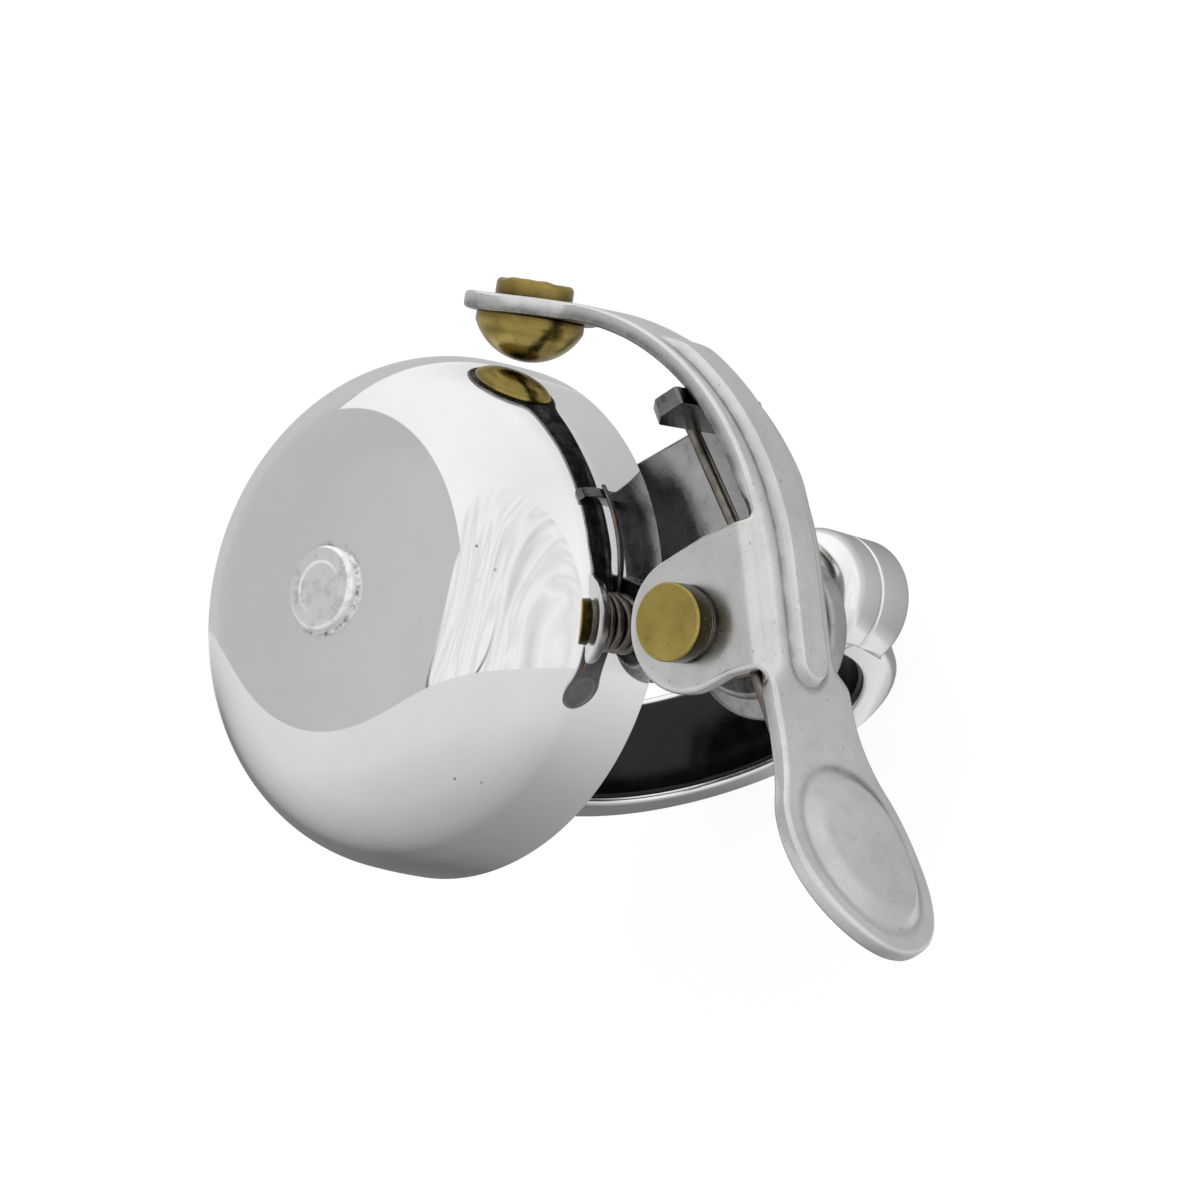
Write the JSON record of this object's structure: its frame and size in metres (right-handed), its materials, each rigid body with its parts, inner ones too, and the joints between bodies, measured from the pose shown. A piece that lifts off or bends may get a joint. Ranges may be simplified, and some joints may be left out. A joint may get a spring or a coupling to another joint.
{
  "type": "handlebar bell",
  "caption": "Domed bell on a cast bracket with a ring clamp for a round bar and a sprung thumb lever that carries a brass hammer.",
  "frame": {"origin": "centre of the clamp's bore, in the middle of the band's length", "axes": "+X along the bar, away from the thumb pad; +Z towards the dome; -Y towards the rider, where the lever is"},
  "size_m": [0.0678, 0.0587, 0.0655],
  "materials": {
    "dome_chrome": "mirror-polished plating",
    "band_chrome": "polished plating",
    "rivet_aluminium": "bright, slightly dented head",
    "lever_aluminium": "satin, lightly polished",
    "cast_alloy": "dull casting with rough spots",
    "brass": "aged olive-gold brass",
    "steel": "plain turned steel",
    "spring_steel": "dark drawn wire",
    "fibre": "dark fibre",
    "liner_black": "glossy black lining"
  },
  "bodies": {
    "bell_body": {"bell_dome": "dome_chrome", "centre_rivet": "rivet_aluminium", "dome_washer": "fibre", "spacer_sleeve": "steel", "hub_washer": "steel", "base_bracket": "cast_alloy", "clamp_band": "band_chrome", "bar_liner": "liner_black", "locating_pins": "steel", "screw_washer": "steel", "thread_insert": "steel", "pivot_pin": "brass", "head_washer": "steel", "boss_washer": "fibre", "spring_sleeve": "brass", "torsion_spring": "spring_steel", "pin_clip": "spring_steel"},
    "lever": {"striker_lever": "lever_aluminium", "hammer": "brass"},
    "screw": {"clamp_screw": "steel"}
  },
  "joints": [
    {"name": "lever_swing", "type": "hinge", "parent": "bell_body", "child": "lever", "pos_m": [-0.0129, -0.0259, 0.02925], "axis": [0.1045, 0, -0.9945], "range_deg": [0, 25], "stiffness_Nm_per_rad": 0.08, "springref_deg": -28.65, "deforming": ["torsion_spring"]},
    {"name": "clamp_screw_turn", "type": "hinge", "parent": "bell_body", "child": "screw", "pos_m": [0, -0.01995, -0.004], "axis": [0, 0, 1], "continuous": true}
  ]
}
